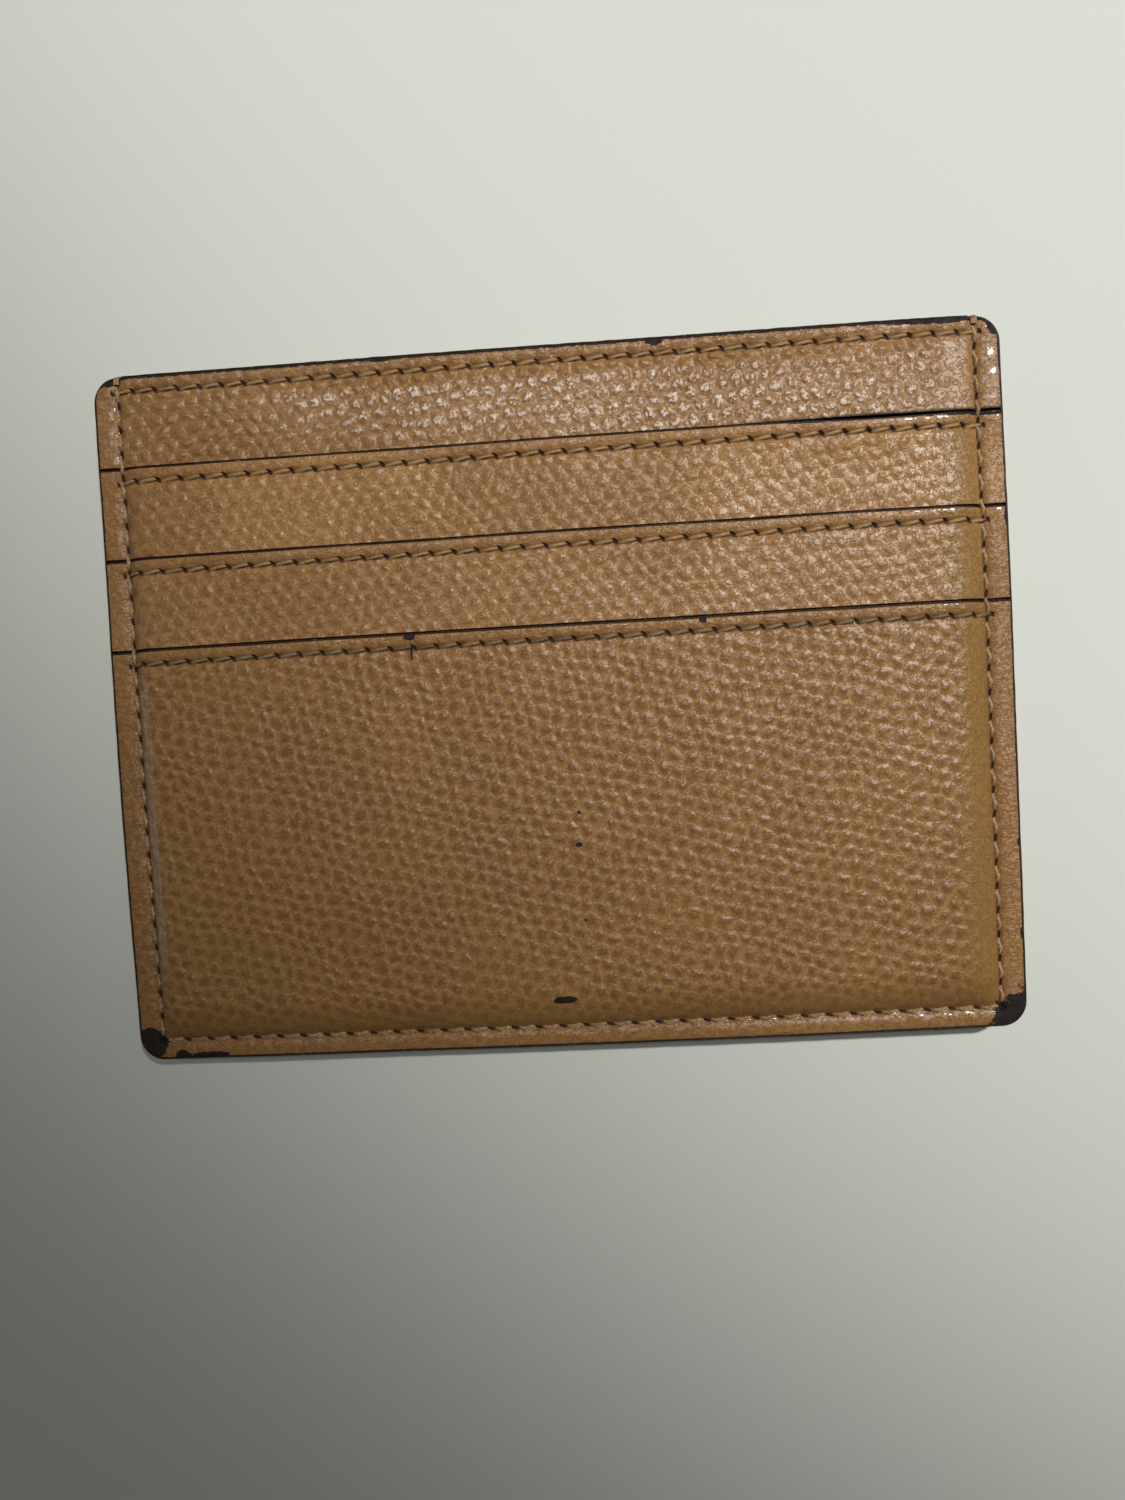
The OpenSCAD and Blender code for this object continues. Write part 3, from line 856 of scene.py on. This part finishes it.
def addWrap(bm, x, out):
    # one thread from the last hole over the top edge and down to the middle
    r, bend, start = wrap["r"], wrap["bend"], seamHigh - wrap["back"]
    height = borderTop + r * wrap["raised"] + out
    place = Matrix.Translation((x, start, height)) @ Matrix.Rotation(math.pi / 2, 4, "X")
    ring = bmesh.ops.create_circle(
        bm, cap_ends=True, segments=wrap["sides"], radius=r, matrix=place)["verts"]
    edges = list({e for v in ring for e in v.link_edges})
    centre = Vector((x, halfH - bend + out, height - bend))

    def pull(edges, move):
        made = bmesh.ops.extrude_edge_only(bm, edges=edges)["geom"]
        moved = [g for g in made if isinstance(g, bmesh.types.BMVert)]
        bmesh.ops.translate(bm, vec=move, verts=moved)
        return [g for g in made if isinstance(g, bmesh.types.BMEdge) and all(v in moved for v in g.verts)]

    edges = pull(edges, Vector((0, centre.y - start, 0)))
    turned = bmesh.ops.spin(bm, geom=edges, cent=centre, axis=(-1, 0, 0), angle=math.pi / 2,
                            steps=wrap["steps"])["geom_last"]
    edges = [g for g in turned if isinstance(g, bmesh.types.BMEdge)]
    low = min(v.co.z for e in edges for v in e.verts)
    bmesh.ops.contextual_create(bm, geom=pull(edges, Vector((0, 0, wrap["end"] - low))))
    bmesh.ops.recalc_face_normals(bm, faces=bm.faces)


def buildRow(side, k):
    bm = bmesh.new()
    lift = row["thick"] * row["lift"]
    for a, b in zip(rowHoles, rowHoles[1:]):
        x = (a + b) / 2
        places = (a * 0.75 + b * 0.25, b * 0.75 + a * 0.25, x)
        left, right, top = (leatherTop(k, place, rowY[k]) for place in places)
        wander = row["wander"] * noise.noise(Vector((x / 2.1, k, 6.0)))
        tilt = math.radians(row["slant"] * (1 + 0.5 * noise.noise(Vector((x / 1.9, k, 2.0)))))
        lean = math.atan2(right - left, (b - a) / 2)
        addStitch(bm, rowProto, (x, rowY[k] + wander, top + lift), tilt, lean)
    node = side + "_" + rowNodes[k]
    skin = pocketRowSkin if k == pocket and side == "front" else rowSkin
    return finishPiece(bm, node + "_thread", side, skin, [node], sharp=60)


def sewnHeight(x, y):
    # leather under the seam, whichever ply is there
    k = max(i for i in range(pocket + 1) if y <= slotEdge[i])
    return leatherTop(k, x, y)


def seamTilt(place):
    return math.radians(seam["slant"] * (1 + 0.8 * noise.noise(Vector(place))))


def buildSeam(side, node):
    bm = bmesh.new()
    lift = seam["thick"] * seam["lift"]
    for sx in (-1, 1):
        for a, b in zip(sideHoles, sideHoles[1:]):
            y = (a + b) / 2
            top = min(sewnHeight(sx * seamX, y + d) for d in (-0.3, 0.3))
            tilt = seamTilt((y / 2, sx, 5.0))
            addStitch(bm, seamProto, (sx * seamX, y, top + lift), math.pi / 2 + tilt)
        for i in range(wrap["threads"]):
            addWrap(bm, sx * seamX + (i - 1) * wrap["apart"], i * wrap["stacked"])
    for a, b in zip(baseHoles, baseHoles[1:]):
        x = (a + b) / 2
        top = sewnHeight(x, seamLow)
        addStitch(bm, seamProto, (x, seamLow, top + lift), seamTilt((x / 2, 3.0, 5.0)))
    return finishPiece(bm, node + "_stitches", side, seamSkin, [node], sharp=60)


def buildSlotLining(side, k):
    # hangs behind a slot strip, comes down to the board and ends in a flat foot
    node = side + "_" + ("pocket_lining" if k == pocket else f"slot_{k}_lining")
    low, high = span(node, 1)
    x1 = span(node, 0)[1] - lining["clear"]
    front = "front_" + node.split("_", 1)[1]
    topZ = span(front, 2)[1] - midZ
    footZ = span(front, 2)[0] - midZ + liningT

    def outer(x, y):
        down = 0.0 if k == pocket else soft((low + lining["foot"] + lining["run"] - y) / lining["run"])
        return topZ + (footZ - topZ) * down + gapeAt(k, x, y) - lining["footClear"]

    bm = sheetGrid(-x1, x1, low, high, lining["step"])
    thicken(bm, outer, lambda x, y: outer(x, y) - liningT * 0.8)
    piece = finishPiece(bm, node + "_cloth", side, liningSkin, [node])
    return piece


def buildCentreLining(side):
    node = side + "_centre_lining"
    w, h = halfW - paintT, halfH - paintT
    bm = sheetGrid(-w, w, -h, h, lining["step"])

    def inner(x, y):
        return centreGap * rise(pocket, x, y) + 0.01

    thicken(bm, lambda x, y: inner(x, y) + liningT * 0.9, inner)
    for v in bm.verts:
        v.co.x, v.co.y = roundCorner(v.co.x, v.co.y, True, True)
    piece = finishPiece(bm, node + "_cloth", side, liningSkin, [node])
    2 * w * mm
    2 * h * mm
    return piece


view = dict(
    lens=26.0, place=(6.4, -0.9, 122.4), aim=(0.4, -5.5, 4.4), roll=-3.1,
    floor=colour(0.60, 0.61, 0.545),
    floorDrop=0.17,                                  # the back's leather swells that far past the model
)


def buildCamera():
    data = bpy.data.cameras.new("camera")
    data.lens, data.sensor_width = view["lens"], 36.0
    data.clip_start, data.clip_end = 0.01, 10.0
    camera = bpy.data.objects.new("camera", data)
    bpy.context.scene.collection.objects.link(camera)
    camera.location = Vector(view["place"]) * mm
    ahead = (Vector(view["aim"]) - Vector(view["place"])).normalized()
    across = Vector((math.cos(math.radians(view["roll"])), math.sin(math.radians(view["roll"])), 0))
    across = (across - ahead * across.dot(ahead)).normalized()
    up = across.cross(ahead)
    camera.rotation_mode = "QUATERNION"
    camera.rotation_quaternion = Matrix((across, up, -ahead)).transposed().to_quaternion()
    bpy.context.scene.camera = camera


def buildFloor():
    bm = bmesh.new()
    bmesh.ops.create_grid(bm, x_segments=1, y_segments=1, size=3.0)
    bmesh.ops.translate(bm, vec=(0, 0, -view["floorDrop"] * mm), verts=bm.verts)
    mesh = bpy.data.meshes.new("floor")
    bm.to_mesh(mesh)
    bm.free()
    floor = bpy.data.objects.new("floor", mesh)
    bpy.context.scene.collection.objects.link(floor)
    material, wire, shader = newMaterial("floor", {"Base Color": view["floor"], "Roughness": 0.9})
    mesh.materials.append(material)


# A lamp whose soft edge leaves the lower left in shade, a long panel mirrored in the upper strips, and
# two faint windows. Places are in metres, powers in watts
lights = dict(
    lamp=dict(
        place=(0.50, 0.50, 1.15), aim=(0.358, 0.357, 0), power=76.0, cone=49.8, blend=0.31, r=0.035),
    ceiling=dict(place=(0.03, 0.365, 1.20), aim=(0, 0.03, 0), power=2.4, size=(0.86, 0.065)),
    windowLeft=dict(place=(-0.85, 0.05, 0.30), aim=(0, 0, 0), power=0.5, size=(0.5, 0.5)),
    windowRight=dict(place=(0.80, 0.10, 0.60), aim=(0.02, 0, 0), power=0.2, size=(0.6, 0.6)),
)
room = dict(tint=colour(0.9, 0.9, 0.86), strength=0.025)


def buildLights():
    for name, light in lights.items():
        if "cone" in light:
            data = bpy.data.lights.new(name, "SPOT")
            data.spot_size, data.spot_blend = math.radians(light["cone"]), light["blend"]
            data.shadow_soft_size = light["r"]
        else:
            data = bpy.data.lights.new(name, "AREA")
            data.shape = "RECTANGLE"
            data.size, data.size_y = light["size"]
        data.energy = light["power"]
        lightObject = bpy.data.objects.new(name, data)
        lightObject.location = light["place"]
        lightObject.rotation_mode = "QUATERNION"
        ahead = Vector(light["aim"]) - Vector(light["place"])
        lightObject.rotation_quaternion = ahead.to_track_quat("-Z", "Y")
        bpy.context.scene.collection.objects.link(lightObject)
    world = bpy.data.worlds.new("room")
    bpy.context.scene.world = world
    world.use_nodes = True
    background = world.node_tree.nodes["Background"]
    background.inputs["Color"].default_value = room["tint"]
    background.inputs["Strength"].default_value = room["strength"]


print("camera, floor and lights")
buildCamera()
buildFloor()
buildLights()

for side in ("front", "back"):
    for k in range(pocket + 1):
        buildPly(side, k)
        buildEdgePaint(side, k)
        buildRow(side, k)
        if k > 0:
            buildSlotLining(side, k)
        print(side, plyNodes[k])
    buildCentreLining(side)
    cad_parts[side + "_stiffener_board"].material_slots[0].material = boardSkin
    for k in (1, 2):
        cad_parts[f"{side}_slot_{k}_foot_stitching"].material_slots[0].material = rowSkin
buildSeam("front", "seam_needle_thread")
buildSeam("back", "seam_bobbin_thread")
buildRimPaint()
print("seams and rim")

bpy.context.scene.view_settings.view_transform = "Standard"
